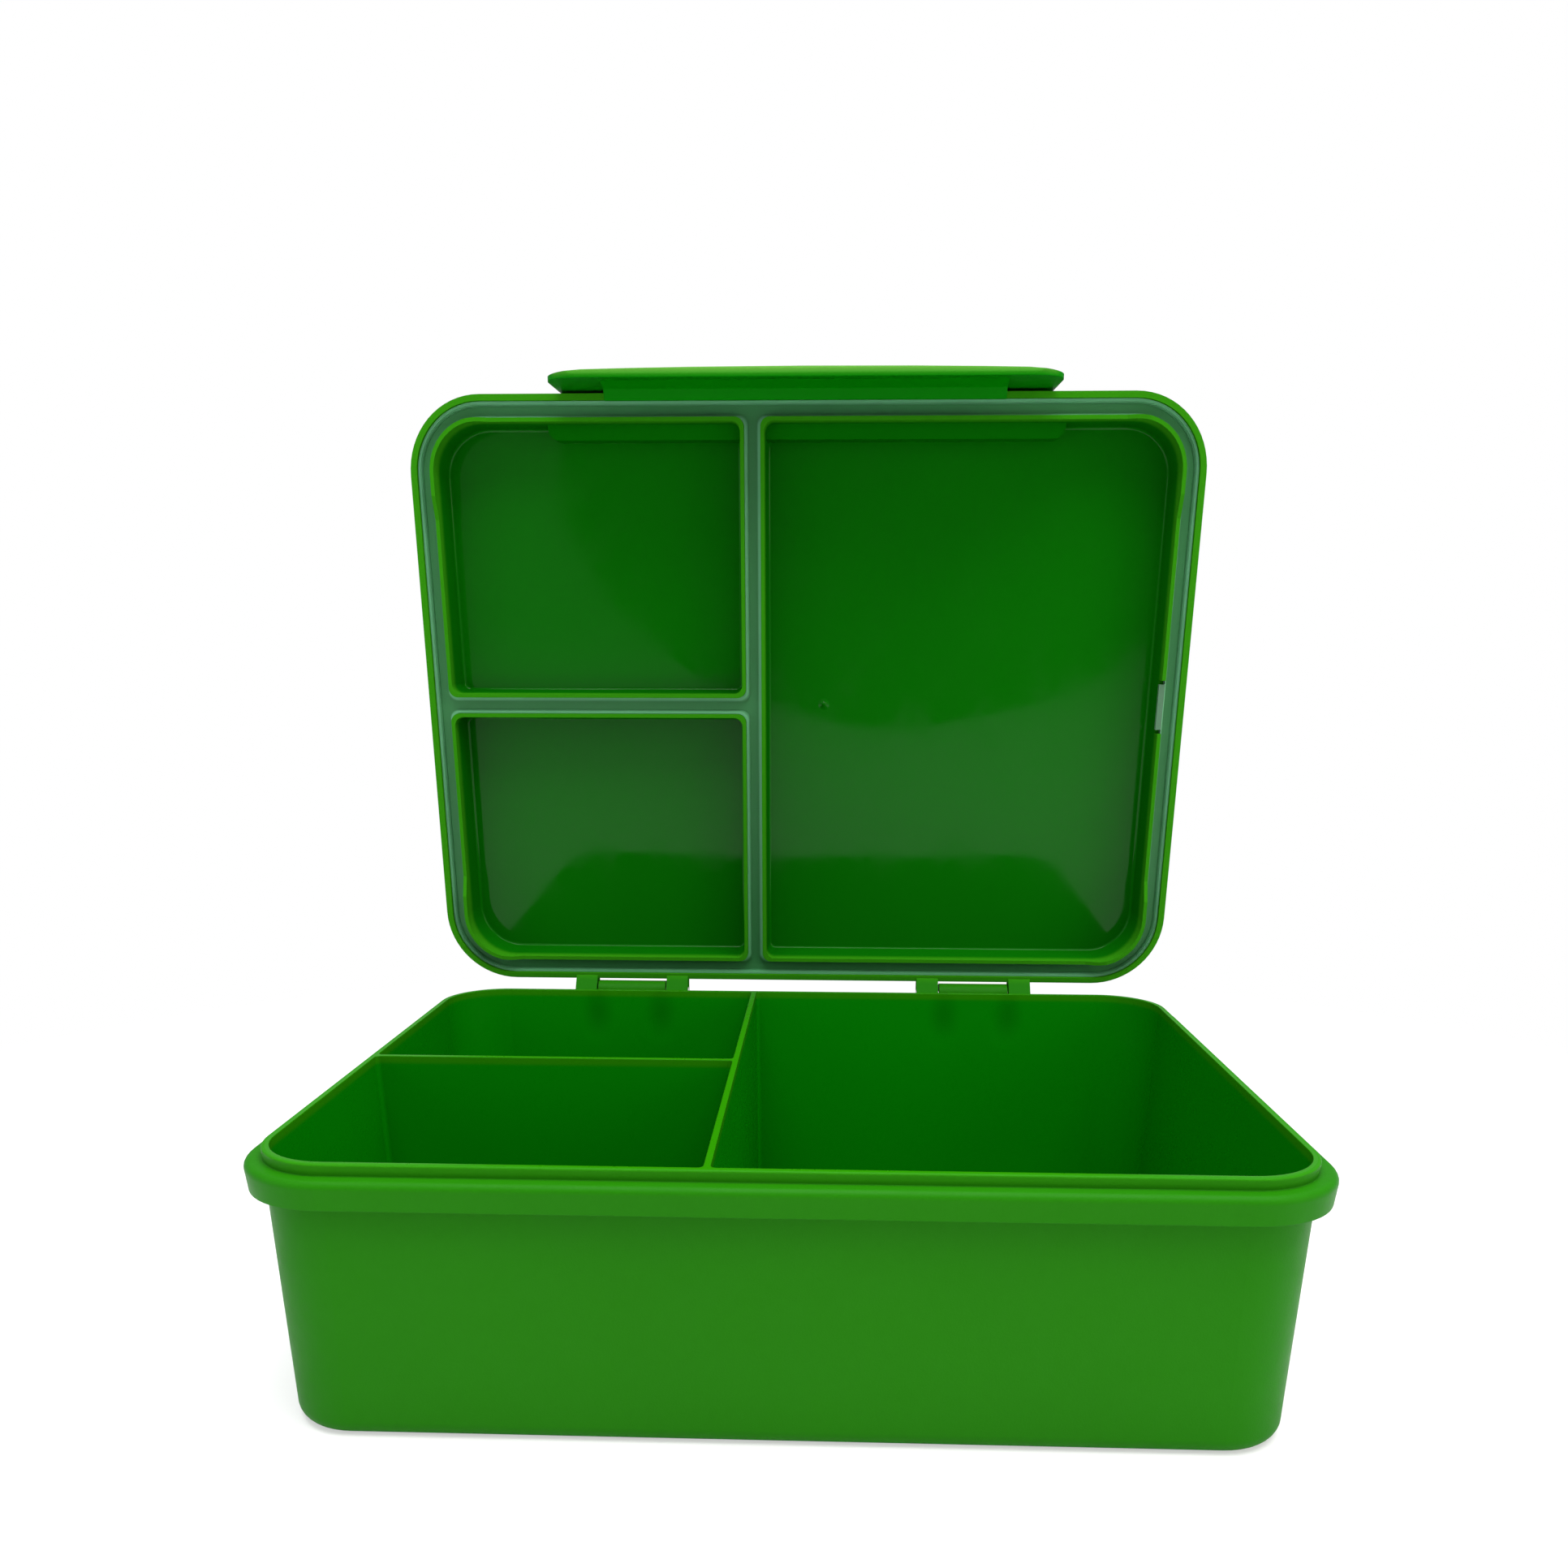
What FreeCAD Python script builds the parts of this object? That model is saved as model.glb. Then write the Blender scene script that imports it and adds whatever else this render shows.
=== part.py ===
import FreeCAD, Part
import math
import os

import Sketcher

# Hinged lunch box: a three-cell tub, a lid with a channel seal, and a front latch.
# The lid and what it carries are modelled closed, then swung open about the rear hinge axis.

DOCUMENT = FreeCAD.newDocument("lunch_box")

DIMENSIONS = (
    # Tub
    ("tub_width", 222.0),
    ("tub_length", 166.8),
    ("tub_height", 61.2),
    ("flange_corner", 20.7),
    ("lip_rise", 2.5),
    ("skirt_height", 6.0),
    ("skirt_taper", 6.0),
    ("skirt_wall", 1.7),
    ("skirt_round", 1.5),
    ("flange_wall", 1.8),
    ("lip_inset", 3.7),
    ("lip_round", 0.45),
    ("wall_draft", 2.0),
    ("wall", 1.6),
    ("floor", 1.8),
    ("base_round", 3.8),
    ("foot_inset", 12.0),
    ("foot_recess", 0.6),
    ("divider_x", -14.6),
    ("divider_y", 0.0),
    ("divider_top", 1.4),
    ("divider_base", 2.6),
    ("cell_corner", 1.2),
    # Rear hinge
    ("hinge_x", 53.5),
    ("hinge_y", 87.1),
    ("hinge_z", 59.25),
    ("barrel_radius", 3.2),
    ("block_width", 21.2),
    ("block_gap", 0.35),
    ("lug_width", 6.65),
    ("lug_heel", 3.55),
    ("hinge_pin", 2.4),
    ("running_gap", 0.05),
    ("gusset_wall", 1.6),
    ("gusset_foot", 46.0),
    ("gusset_drop", 1.0),
    ("web_drop", 0.3),
    ("web_foot", 1.2),
    ("lug_root", 1.0),
    ("lug_tail", 2.9),
    ("lug_tuck", 0.4),
    ("lid_open_angle", 86.9),
    # Lid
    ("lid_width", 221.6),
    ("lid_length", 166.2),
    ("lid_corner", 20.8),
    ("lid_gap", 0.3),
    ("band_height", 6.4),
    ("band_taper", 3.0),
    ("band_round", 2.0),
    ("dome_inset", 5.6),
    ("dome_height", 13.3),
    ("dome_taper", 4.0),
    ("dome_round", 3.2),
    ("recess_depth", 11.5),
    ("recess_taper", 3.0),
    ("recess_round", 0.8),
    ("rib_corner", 2.6),
    ("groove_inset", 1.95),
    ("rib_outer_inset", 6.2),
    ("rib_wall", 1.05),
    ("groove_half", 2.3),
    ("groove_depth", 4.6),
    ("guide_rise", 2.2),
    ("guide_span_x", 88.0),
    ("guide_span_y", 51.0),
    ("guide_ramp", 6.0),
    ("notch_half", 7.5),
    ("notch_depth", 3.2),
    ("notch_margin", 0.4),
    # Seal
    ("seal_gap", 0.05),
    ("seal_sink", 1.2),
    ("channel_outer", 2.7),
    ("channel_inner", 6.0),
    ("channel_half", 1.65),
    ("channel_depth", 1.4),
    ("channel_step", 0.22),
    ("tab_half", 6.4),
    ("tab_reach", 7.7),
    ("tab_wall", 1.4),
    ("tab_root", 0.3),
    # Latch
    ("latch_y", -78.4),
    ("latch_z", 68.4),
    ("latch_barrel", 2.7),
    ("latch_half", 68.3),
    ("latch_inner", -84.0),
    ("latch_wall", 2.0),
    ("latch_end", 40.0),
    ("latch_bend", 5.0),
    ("latch_flare", 0.8),
    ("flare_height", 9.0),
    ("latch_bow", 0.8),
    ("bow_half", 58.3),
    ("end_drop", 0.9),
    ("trim_margin", 1.0),
    ("latch_corner", 8.0),
    ("grip_round", 1.9),
    ("grip_middle", 0.55),
    ("arm_clear", 0.3),
    ("hook_half", 54.0),
    ("hook_reach", 3.9),
    ("hook_drop", 0.75),
    ("hook_nose", 1.2),
    ("hook_root", 50.0),
    ("hook_sink", 0.5),
    ("hook_foot", 2.0),
    ("pocket_half", 68.9),
    ("pocket_back", -73.5),
    ("pocket_wall", 1.6),
    ("pocket_corner", 3.0),
    ("pocket_edge", 0.4),
    ("boss_cover", 1.5),
    ("boss_sink", 0.5),
    ("boss_margin", 0.3),
    ("ear_width", 3.0),
    ("ear_radius", 2.9),
    ("ear_sink", 0.5),
    ("ear_root", 1.0),
    ("latch_pin", 2.0),
    ("latch_pin_length", 11.0),
)


def make_sheet():
    """One row per driving dimension, in millimetres and degrees."""
    sheet = DOCUMENT.addObject("Spreadsheet::Sheet", "dims")
    for row, (alias, number) in enumerate(DIMENSIONS, start=1):
        sheet.set(f"A{row}", alias)
        sheet.set(f"B{row}", str(number))
        sheet.setAlias(f"B{row}", alias)
    DOCUMENT.recompute()
    return sheet


SHEET = make_sheet()


def value(expression):
    """The number that an expression of sheet cells gives."""
    result = SHEET.evalExpression(expression)
    return float(getattr(result, "Value", result))


def cells(expression):
    """Write every sheet alias in an expression as a cell of the sheet."""
    words = {alias for alias, number in DIMENSIONS}
    out = ""
    word = ""
    for letter in expression + " ":
        if letter.isalnum() or letter == "_":
            word += letter
            continue
        out += ("dims." + word) if word in words else word
        out += letter
        word = ""
    return out.strip()


QUARTER_TURN = math.pi / 2
SAME_PLACE = 0.01
LEAST_CUT = 0.1

# Heights that several pieces share
FLANGE_TOP = "(tub_height - lip_rise)"
SKIRT_FOOT = "(tub_height - lip_rise - skirt_height)"
RIM = "(tub_height - lip_rise + lid_gap)"
BAND_TOP = f"({RIM} + band_height)"
PANEL = f"({RIM} + recess_depth)"
BASE_INSET = "(lip_inset + tub_height * tan(wall_draft * 1 deg))"
FLOOR_INSET = "(lip_inset + wall + (tub_height - floor) * tan(wall_draft * 1 deg))"


def new_body(label):
    body = DOCUMENT.addObject("PartDesign::Body", label)
    body.Label = label
    return body


def plane(body, role):
    return next(item for item in body.Origin.OriginFeatures if item.Role == role)


def new_sketch(body, name, role="XY_Plane", offset="0"):
    """A sketch on one of the body's origin planes, raised by a sheet expression."""
    sketch = body.newObject("Sketcher::SketchObject", name)
    sketch.AttachmentSupport = [(plane(body, role), "")]
    sketch.MapMode = "FlatFace"
    sketch.setExpression("AttachmentOffset.Base.z", cells(offset))
    return sketch


def fix(sketch, kind, *entries):
    """Add a dimension whose size is a sheet expression, the last of the entries."""
    *places, expression = entries
    index = sketch.addConstraint(Sketcher.Constraint(kind, *places, value(expression)))
    sketch.setExpression(f"Constraints[{index}]", cells(expression))


def rounded_outline(sketch, left, right, front, back, radii):
    """A rectangle with four corner arcs: front left, front right, back right, back left."""
    low_x, high_x, low_y, high_y = (value(side) for side in (left, right, front, back))
    sizes = [value(radius) for radius in radii]
    centres = (
        (low_x + sizes[0], low_y + sizes[0], 2 * QUARTER_TURN),
        (high_x - sizes[1], low_y + sizes[1], 3 * QUARTER_TURN),
        (high_x - sizes[2], high_y - sizes[2], 0.0),
        (low_x + sizes[3], high_y - sizes[3], QUARTER_TURN),
    )
    arcs = []
    for (x, y, start), size in zip(centres, sizes):
        circle = Part.Circle(FreeCAD.Vector(x, y, 0), FreeCAD.Vector(0, 0, 1), size)
        arcs.append(sketch.addGeometry(Part.ArcOfCircle(circle, start, start + QUARTER_TURN)))
    lines = []
    for index, arc in enumerate(arcs):
        following = arcs[(index + 1) % 4]
        start = sketch.getPoint(arc, 2)
        end = sketch.getPoint(following, 1)
        lines.append(sketch.addGeometry(Part.LineSegment(start, end)))
    for index, line in enumerate(lines):
        sketch.addConstraint(Sketcher.Constraint("Tangent", arcs[index], 2, line, 1))
        sketch.addConstraint(Sketcher.Constraint("Tangent", line, 2, arcs[(index + 1) % 4], 1))
        direction = "Horizontal" if index % 2 == 0 else "Vertical"
        sketch.addConstraint(Sketcher.Constraint(direction, line))
        fix(sketch, "Radius", arcs[index], radii[index])
    fix(sketch, "DistanceX", -1, 1, lines[3], 1, left)
    fix(sketch, "DistanceX", -1, 1, lines[1], 1, right)
    fix(sketch, "DistanceY", -1, 1, lines[0], 1, front)
    fix(sketch, "DistanceY", -1, 1, lines[2], 1, back)


def centred_outline(sketch, width, length, radius, inset="0"):
    """A rounded rectangle about the origin, drawn in by an inset on every side."""
    half_x = f"({width} / 2 - {inset})"
    half_y = f"({length} / 2 - {inset})"
    corner = f"({radius} - {inset})"
    rounded_outline(sketch, f"-{half_x}", half_x, f"-{half_y}", half_y, [corner] * 4)


def tub_outline(sketch, inset):
    centred_outline(sketch, "tub_width", "tub_length", "flange_corner", inset)


def cell_outlines(inset, half_gap, corner):
    """Sides and corner radii of the three cells that the dividers make."""
    outer = f"(flange_corner - {inset})"
    left = f"-(tub_width / 2 - {inset})"
    right = f"(tub_width / 2 - {inset})"
    front = f"-(tub_length / 2 - {inset})"
    back = f"(tub_length / 2 - {inset})"
    west = f"(divider_x - {half_gap})"
    east = f"(divider_x + {half_gap})"
    south = f"(divider_y - {half_gap})"
    north = f"(divider_y + {half_gap})"
    return (
        ("front", (left, west, front, south), [outer, corner, corner, corner]),
        ("rear", (left, west, north, back), [corner, corner, corner, outer]),
        ("side", (east, right, front, back), [corner, outer, outer, corner]),
    )


def draw_cells(sketch, inset, half_gap, corner):
    for name, sides, radii in cell_outlines(inset, half_gap, corner):
        rounded_outline(sketch, *sides, radii)


def draw_profile(sketch, points):
    """A closed outline of straight sides; each corner is a pair of sheet expressions."""
    corners = [FreeCAD.Vector(value(x), value(y), 0) for x, y in points]
    lines = []
    for index, corner in enumerate(corners):
        end = corners[(index + 1) % len(corners)]
        lines.append(sketch.addGeometry(Part.LineSegment(corner, end)))
    for index, line in enumerate(lines):
        following = lines[(index + 1) % len(lines)]
        sketch.addConstraint(Sketcher.Constraint("Coincident", line, 2, following, 1))
        fix(sketch, "DistanceX", -1, 1, line, 1, points[index][0])
        fix(sketch, "DistanceY", -1, 1, line, 1, points[index][1])


def draw_circle(sketch, x, y, radius):
    centre = FreeCAD.Vector(value(x), value(y), 0)
    circle = Part.Circle(centre, FreeCAD.Vector(0, 0, 1), value(radius))
    index = sketch.addGeometry(circle)
    fix(sketch, "Radius", index, radius)
    fix(sketch, "DistanceX", -1, 1, index, 3, x)
    fix(sketch, "DistanceY", -1, 1, index, 3, y)


def pad(body, sketch, length, taper="0", down=False, middle=False):
    feature = body.newObject("PartDesign::Pad", sketch.Name + "_pad")
    feature.Profile = sketch
    feature.setExpression("Length", cells(length))
    feature.setExpression("TaperAngle", cells(taper))
    feature.Reversed = down
    if middle:
        feature.SideType = "Symmetric"
    DOCUMENT.recompute()
    return feature


def pocket(body, sketch, length, taper="0", up=False, middle=False):
    """Cut a sketch into the body and make sure that it removed something."""
    before = body.Shape.Volume
    feature = body.newObject("PartDesign::Pocket", sketch.Name + "_cut")
    feature.Profile = sketch
    feature.setExpression("Length", cells(length))
    feature.setExpression("TaperAngle", cells(taper))
    feature.Reversed = up
    if middle:
        feature.SideType = "Symmetric"
    DOCUMENT.recompute()
    assert body.Shape.Volume < before - LEAST_CUT, f"{sketch.Name} cut nothing"
    return feature


def fillet(body, name, radius, chosen):
    """Round the edges of the body's tip that the chosen test accepts."""
    base = body.Tip
    names = [f"Edge{n}" for n, edge in enumerate(base.Shape.Edges, start=1) if chosen(edge)]
    feature = body.newObject("PartDesign::Fillet", name)
    feature.Base = (base, names)
    feature.setExpression("Radius", cells(radius))
    DOCUMENT.recompute()
    return feature


def level_edge(height):
    """A test for edges that lie flat at one height."""
    level = value(height)

    def chosen(edge):
        box = edge.BoundBox
        return abs(box.ZMin - level) < SAME_PLACE and abs(box.ZMax - level) < SAME_PLACE

    return chosen


def level_edge_within(height, half_x, half_y, inside=True):
    """A test for flat edges at one height, inside or outside a rectangle about the origin."""
    at_level = level_edge(height)
    limit_x = value(half_x)
    limit_y = value(half_y)

    def chosen(edge):
        middle = edge.BoundBox.Center
        within = abs(middle.x) < limit_x and abs(middle.y) < limit_y
        return at_level(edge) and within == inside

    return chosen


def along_x(body, name, profile, start, width):
    """Pad a front-to-back profile from one X position for a width."""
    sketch = new_sketch(body, name, "YZ_Plane", start)
    profile(sketch)
    return pad(body, sketch, width)


def barrel(radius, y, z):
    return lambda sketch: draw_circle(sketch, y, z, radius)


def outline(points):
    return lambda sketch: draw_profile(sketch, points)


def make_tub():
    body = new_body("tub")
    base = new_sketch(body, "tub_base")
    tub_outline(base, BASE_INSET)
    pad(body, base, "tub_height", "wall_draft")
    fillet(body, "tub_base_round", "base_round", level_edge("0"))

    flange = new_sketch(body, "flange_outline", offset=FLANGE_TOP)
    tub_outline(flange, "0")
    pad(body, flange, "skirt_height", "-skirt_taper", down=True)
    edge_line = "(tub_width / 2 - lip_inset / 2)"
    edge_back = "(tub_length / 2 - lip_inset / 2)"
    flange_edge = level_edge_within(FLANGE_TOP, edge_line, edge_back, False)
    fillet(body, "flange_round", "skirt_round", flange_edge)

    hollow = new_sketch(body, "skirt_hollow", offset=SKIRT_FOOT)
    tub_outline(hollow, "(skirt_wall + skirt_height * tan(skirt_taper * 1 deg))")
    tub_outline(hollow, "(lip_inset + (lip_rise + flange_wall) * tan(wall_draft * 1 deg))")
    pocket(body, hollow, "(skirt_height - flange_wall)", up=True)

    hinge_blocks(body)

    for name, sides, radii in cell_outlines("(lip_inset + wall)", "(divider_top / 2)", "cell_corner"):
        mouth = new_sketch(body, f"{name}_cell_mouth", offset="tub_height")
        rounded_outline(mouth, *sides, radii)
        bed = new_sketch(body, f"{name}_cell_bed", offset="floor")
        outlines = cell_outlines(FLOOR_INSET, "(divider_base / 2)", "cell_corner")
        lower_sides, lower_radii = next((s, r) for n, s, r in outlines if n == name)
        rounded_outline(bed, *lower_sides, lower_radii)
        before = body.Shape.Volume
        cavity = body.newObject("PartDesign::SubtractiveLoft", f"{name}_cell")
        cavity.Profile = mouth
        cavity.Sections = [bed]
        cavity.Ruled = True
        DOCUMENT.recompute()
        assert body.Shape.Volume < before, f"{name} cell cut nothing"
    lip_x = "(tub_width / 2 - lip_inset - wall / 2)"
    lip_y = "(tub_length / 2 - lip_inset - wall / 2)"
    fillet(body, "lip_outer_round", "lip_round", level_edge_within("tub_height", lip_x, lip_y, False))

    foot = new_sketch(body, "foot_recess_outline")
    tub_outline(foot, "(foot_inset + lip_inset)")
    pocket(body, foot, "foot_recess", up=True)
    return body


def hinge_blocks(body):
    """Two rear blocks, each a barrel on a web from the skirt, with two gussets to the wall."""
    skirt_y = "(tub_length / 2 - skirt_wall)"
    wall_y = "(tub_length / 2 - lip_inset - wall / 2)"
    low_wall_y = f"({wall_y} - (tub_height - gusset_foot) * tan(wall_draft * 1 deg))"
    web = [
        (skirt_y, f"({FLANGE_TOP} - web_drop)"),
        (skirt_y, f"({SKIRT_FOOT} + web_foot)"),
        ("hinge_y", "(hinge_z - barrel_radius)"),
        ("hinge_y", f"({FLANGE_TOP} - web_drop)"),
    ]
    gusset = [
        (wall_y, f"({FLANGE_TOP} - gusset_drop)"),
        (low_wall_y, "gusset_foot"),
        (f"({low_wall_y} + wall)", "gusset_foot"),
        ("hinge_y", "(hinge_z - barrel_radius)"),
        ("hinge_y", f"({FLANGE_TOP} - gusset_drop)"),
    ]
    for side, sign in (("left", "-"), ("right", "")):
        start = f"({sign}hinge_x - block_width / 2)"
        along_x(body, f"{side}_block_web", outline(web), start, "block_width")
        roll = barrel("barrel_radius", "hinge_y", "hinge_z")
        along_x(body, f"{side}_block_barrel", roll, start, "block_width")
        far = f"({sign}hinge_x + block_width / 2 - gusset_wall)"
        for place, begin in (("near", start), ("far", far)):
            name = f"{side}_{place}_gusset"
            along_x(body, name, outline(gusset), begin, "gusset_wall")
    bore = new_sketch(body, "block_bore", "YZ_Plane")
    draw_circle(bore, "hinge_y", "hinge_z", "(hinge_pin / 2 + running_gap)")
    pocket(body, bore, "tub_width", middle=True)


def make_lid():
    body = new_body("lid")
    band = new_sketch(body, "band_outline", offset=RIM)
    centred_outline(band, "lid_width", "lid_length", "lid_corner")
    pad(body, band, "band_height", "-band_taper")
    fillet(body, "band_edge_round", "band_round", level_edge(BAND_TOP))

    dome = new_sketch(body, "dome_outline", offset=RIM)
    tub_outline(dome, "dome_inset")
    pad(body, dome, "dome_height", "-dome_taper")
    fillet(body, "dome_edge_round", "dome_round", level_edge(f"({RIM} + dome_height)"))

    recess = new_sketch(body, "recess_outlines", offset=RIM)
    draw_cells(recess, "(rib_outer_inset + rib_wall)", "(groove_half + rib_wall)", "rib_corner")
    pocket(body, recess, "recess_depth", "-recess_taper", up=True)
    fillet(body, "recess_rounds", "recess_round", level_edge(PANEL))

    groove = new_sketch(body, "seal_groove", offset=RIM)
    tub_outline(groove, "groove_inset")
    draw_cells(groove, "rib_outer_inset", "groove_half", "rib_corner")
    pocket(body, groove, "groove_depth", up=True)

    guide_corners(body)

    notch = new_sketch(body, "tab_notch", offset=RIM)
    notch_in = "(tub_width / 2 - rib_outer_inset - rib_wall - notch_margin)"
    notch_out = "(tub_width / 2 - rib_outer_inset + notch_margin)"
    draw_profile(notch, rectangle(notch_in, notch_out, "-notch_half", "notch_half"))
    pocket(body, notch, "notch_depth", up=True)

    latch_pocket(body)
    lid_lugs(body)
    return body


def rectangle(left, right, front, back):
    return [(left, front), (right, front), (right, back), (left, back)]


def guide_corners(body):
    """Taller ribs at the four outer corners, ramped at their ends, that centre the lid on the tub."""
    ring = new_sketch(body, "guide_ring", offset=RIM)
    tub_outline(ring, "rib_outer_inset")
    tub_outline(ring, "(rib_outer_inset + rib_wall)")
    pad(body, ring, "guide_rise", down=True)
    for name, role, span, reach in (
        ("guide_gap_x", "XZ_Plane", "guide_span_x", "tub_length"),
        ("guide_gap_y", "YZ_Plane", "guide_span_y", "tub_width"),
    ):
        sketch = new_sketch(body, name, role)
        foot = f"({RIM} - guide_rise)"
        points = [
            (f"-({span} + guide_ramp)", foot),
            (f"({span} + guide_ramp)", foot),
            (span, RIM),
            (f"-{span}", RIM),
        ]
        draw_profile(sketch, points)
        pocket(body, sketch, reach, middle=True)


def latch_pocket(body):
    """The pocket in the lid's front that the latch barrel turns in, with an ear at each end."""
    boss = new_sketch(body, "pocket_boss", offset=f"({BAND_TOP} - pocket_wall)")
    half = "(pocket_half + ear_width + boss_margin)"
    front = "(-tub_length / 2 + dome_inset + boss_cover)"
    back = "(pocket_back + pocket_wall)"
    radii = ["pocket_edge", "pocket_edge", "pocket_corner", "pocket_corner"]
    rounded_outline(boss, f"-{half}", half, front, back, radii)
    pad(body, boss, "(recess_depth - band_height + pocket_wall + boss_sink)")
    room = new_sketch(body, "pocket_room", offset=BAND_TOP)
    draw_profile(room, rectangle("-pocket_half", "pocket_half", "-tub_length / 2", "pocket_back"))
    pocket(body, room, "dome_height", up=True)
    web = [
        ("(latch_y - ear_radius)", f"({BAND_TOP} - ear_root)"),
        ("(pocket_back - ear_sink)", f"({BAND_TOP} - ear_root)"),
        ("(pocket_back - ear_sink)", "(latch_z + ear_radius / 2)"),
        ("(latch_y - ear_radius)", "latch_z"),
    ]
    for side, start in (("left", "-(pocket_half + ear_width)"), ("right", "pocket_half")):
        roll = barrel("ear_radius", "latch_y", "latch_z")
        along_x(body, f"{side}_ear", roll, start, "ear_width")
        along_x(body, f"{side}_ear_web", outline(web), start, "ear_width")
    bore = new_sketch(body, "ear_bore", "YZ_Plane")
    draw_circle(bore, "latch_y", "latch_z", "(latch_pin / 2)")
    pocket(body, bore, "tub_width", middle=True)


def lid_lugs(body):
    """Four rear lugs, a pair either side of each tub block, with a flat heel as the open stop."""
    root_y = "(lid_length / 2 - lug_root)"
    web = [
        (root_y, RIM),
        ("(hinge_y - lug_root)", "(hinge_z - lug_heel)"),
        ("(hinge_y + lug_tail)", "(hinge_z - lug_heel)"),
        ("(hinge_y + lug_tail)", "hinge_z"),
        ("hinge_y", "(hinge_z + barrel_radius)"),
        (root_y, f"({BAND_TOP} - band_round - lug_tuck)"),
    ]
    inner = "(block_width / 2 + block_gap)"
    for side, sign in (("left", "-"), ("right", "")):
        starts = (
            ("outer" if sign else "inner", f"({sign}hinge_x - {inner} - lug_width)"),
            ("inner" if sign else "outer", f"({sign}hinge_x + {inner})"),
        )
        for place, start in starts:
            name = f"{side}_{place}_lug"
            along_x(body, name, outline(web), start, "lug_width")
            ring = barrel("barrel_radius", "hinge_y", "hinge_z")
            along_x(body, f"{name}_barrel", ring, start, "lug_width")
    bore = new_sketch(body, "lug_bore", "YZ_Plane")
    draw_circle(bore, "hinge_y", "hinge_z", "(hinge_pin / 2)")
    pocket(body, bore, "tub_width", middle=True)


def make_seal():
    """The seal ring and its T branches, with the channel that the lip and dividers press into."""
    body = new_body("lid_seal")
    face = f"({RIM} + seal_sink)"
    strip = new_sketch(body, "seal_strip", offset=face)
    tub_outline(strip, "(groove_inset + seal_gap)")
    draw_cells(strip, "(rib_outer_inset - seal_gap)", "(groove_half - seal_gap)", "rib_corner")
    pad(body, strip, "(groove_depth - seal_sink - seal_gap)")
    steps = ("face", "middle", "bed")
    for index, name in enumerate(steps):
        shift = f"(channel_step * {index})"
        channel = new_sketch(body, f"seal_channel_{name}", offset=face)
        tub_outline(channel, f"(channel_outer + {shift})")
        draw_cells(channel, f"(channel_inner - {shift})", f"(channel_half - {shift})", "rib_corner")
        pocket(body, channel, f"(channel_depth * {index + 1} / {len(steps)})", up=True)
    tab = new_sketch(body, "pull_tab", offset=f"({face} + channel_depth - tab_wall)")
    tab_in = "(tub_width / 2 - tab_reach)"
    tab_out = "(tub_width / 2 - rib_outer_inset + tab_root)"
    draw_profile(tab, rectangle(tab_in, tab_out, "-tab_half", "tab_half"))
    pad(body, tab, "tab_wall")
    return body


def make_latch():
    body = new_body("latch")
    arm_low = f"({BAND_TOP} + arm_clear)"
    arm_high = "(latch_z + latch_barrel)"
    outer = "(latch_inner - latch_wall)"
    crown = f"({outer} - latch_flare)"
    profile = [
        ("latch_y", arm_low),
        ("latch_inner", arm_low),
        ("latch_inner", "latch_end"),
        (f"({crown} + grip_round)", "latch_end"),
        (f"({crown} + grip_middle)", "(latch_end + grip_middle)"),
        (crown, "(latch_end + grip_round)"),
        (outer, "(latch_end + flare_height)"),
        (outer, arm_high),
        ("latch_y", arm_high),
    ]
    width = "(2 * latch_half)"
    shell = new_sketch(body, "latch_profile", "YZ_Plane")
    draw_profile(shell, profile)
    pad(body, shell, width, middle=True)
    roll = new_sketch(body, "latch_roll", "YZ_Plane")
    draw_circle(roll, "latch_y", "latch_z", "latch_barrel")
    pad(body, roll, width, middle=True)
    bend_y = value(outer)
    bend_z = value(arm_high)

    def bend(edge):
        middle = edge.BoundBox.Center
        return abs(middle.y - bend_y) < SAME_PLACE and abs(middle.z - bend_z) < SAME_PLACE

    fillet(body, "latch_bend_round", "latch_bend", bend)

    drop = f"({SKIRT_FOOT} - hook_drop)"
    tip = "(latch_inner + hook_reach)"
    hook = [
        ("(latch_inner - hook_sink)", drop),
        (tip, drop),
        (tip, f"({drop} - hook_nose)"),
        ("(latch_inner + hook_nose)", "hook_root"),
        ("(latch_inner - hook_sink)", "(latch_end + hook_foot)"),
    ]
    bar = new_sketch(body, "hook_bar", "YZ_Plane")
    draw_profile(bar, hook)
    pad(body, bar, "(2 * hook_half)", middle=True)

    bow_outer_face(body)
    lower = value("latch_end")
    side = value("latch_half")

    def end_corner(edge):
        middle = edge.BoundBox.Center
        flat = edge.BoundBox.XLength < SAME_PLACE and edge.BoundBox.ZLength < SAME_PLACE
        return flat and abs(abs(middle.x) - side) < SAME_PLACE and abs(middle.z - lower) < SAME_PLACE

    fillet(body, "latch_corners", "latch_corner", end_corner)

    bore = new_sketch(body, "roll_bore", "YZ_Plane")
    draw_circle(bore, "latch_y", "latch_z", "(latch_pin / 2 + running_gap)")
    pocket(body, bore, width, middle=True)
    return body


def bow_outer_face(body):
    """Trim the latch's outer face to a shallow bow whose ends fall away."""
    crown = "(latch_inner - latch_wall - latch_flare)"
    shallow = f"({crown} + latch_bow / 4)"
    shoulder = f"({crown} + latch_bow)"
    tip = f"({crown} + latch_bow + end_drop)"
    clear = f"({crown} - latch_wall)"
    end = "(latch_half + trim_margin)"
    right = [
        ("(bow_half / 2)", shallow),
        ("bow_half", shoulder),
        (end, tip),
        (end, clear),
    ]
    left = [(f"-{x}", y) for x, y in reversed(right)]
    sketch = new_sketch(body, "latch_bow_trim")
    draw_profile(sketch, [("0", crown), *right, *left])
    pocket(body, sketch, "(tub_height + tub_height)", up=True)


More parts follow.
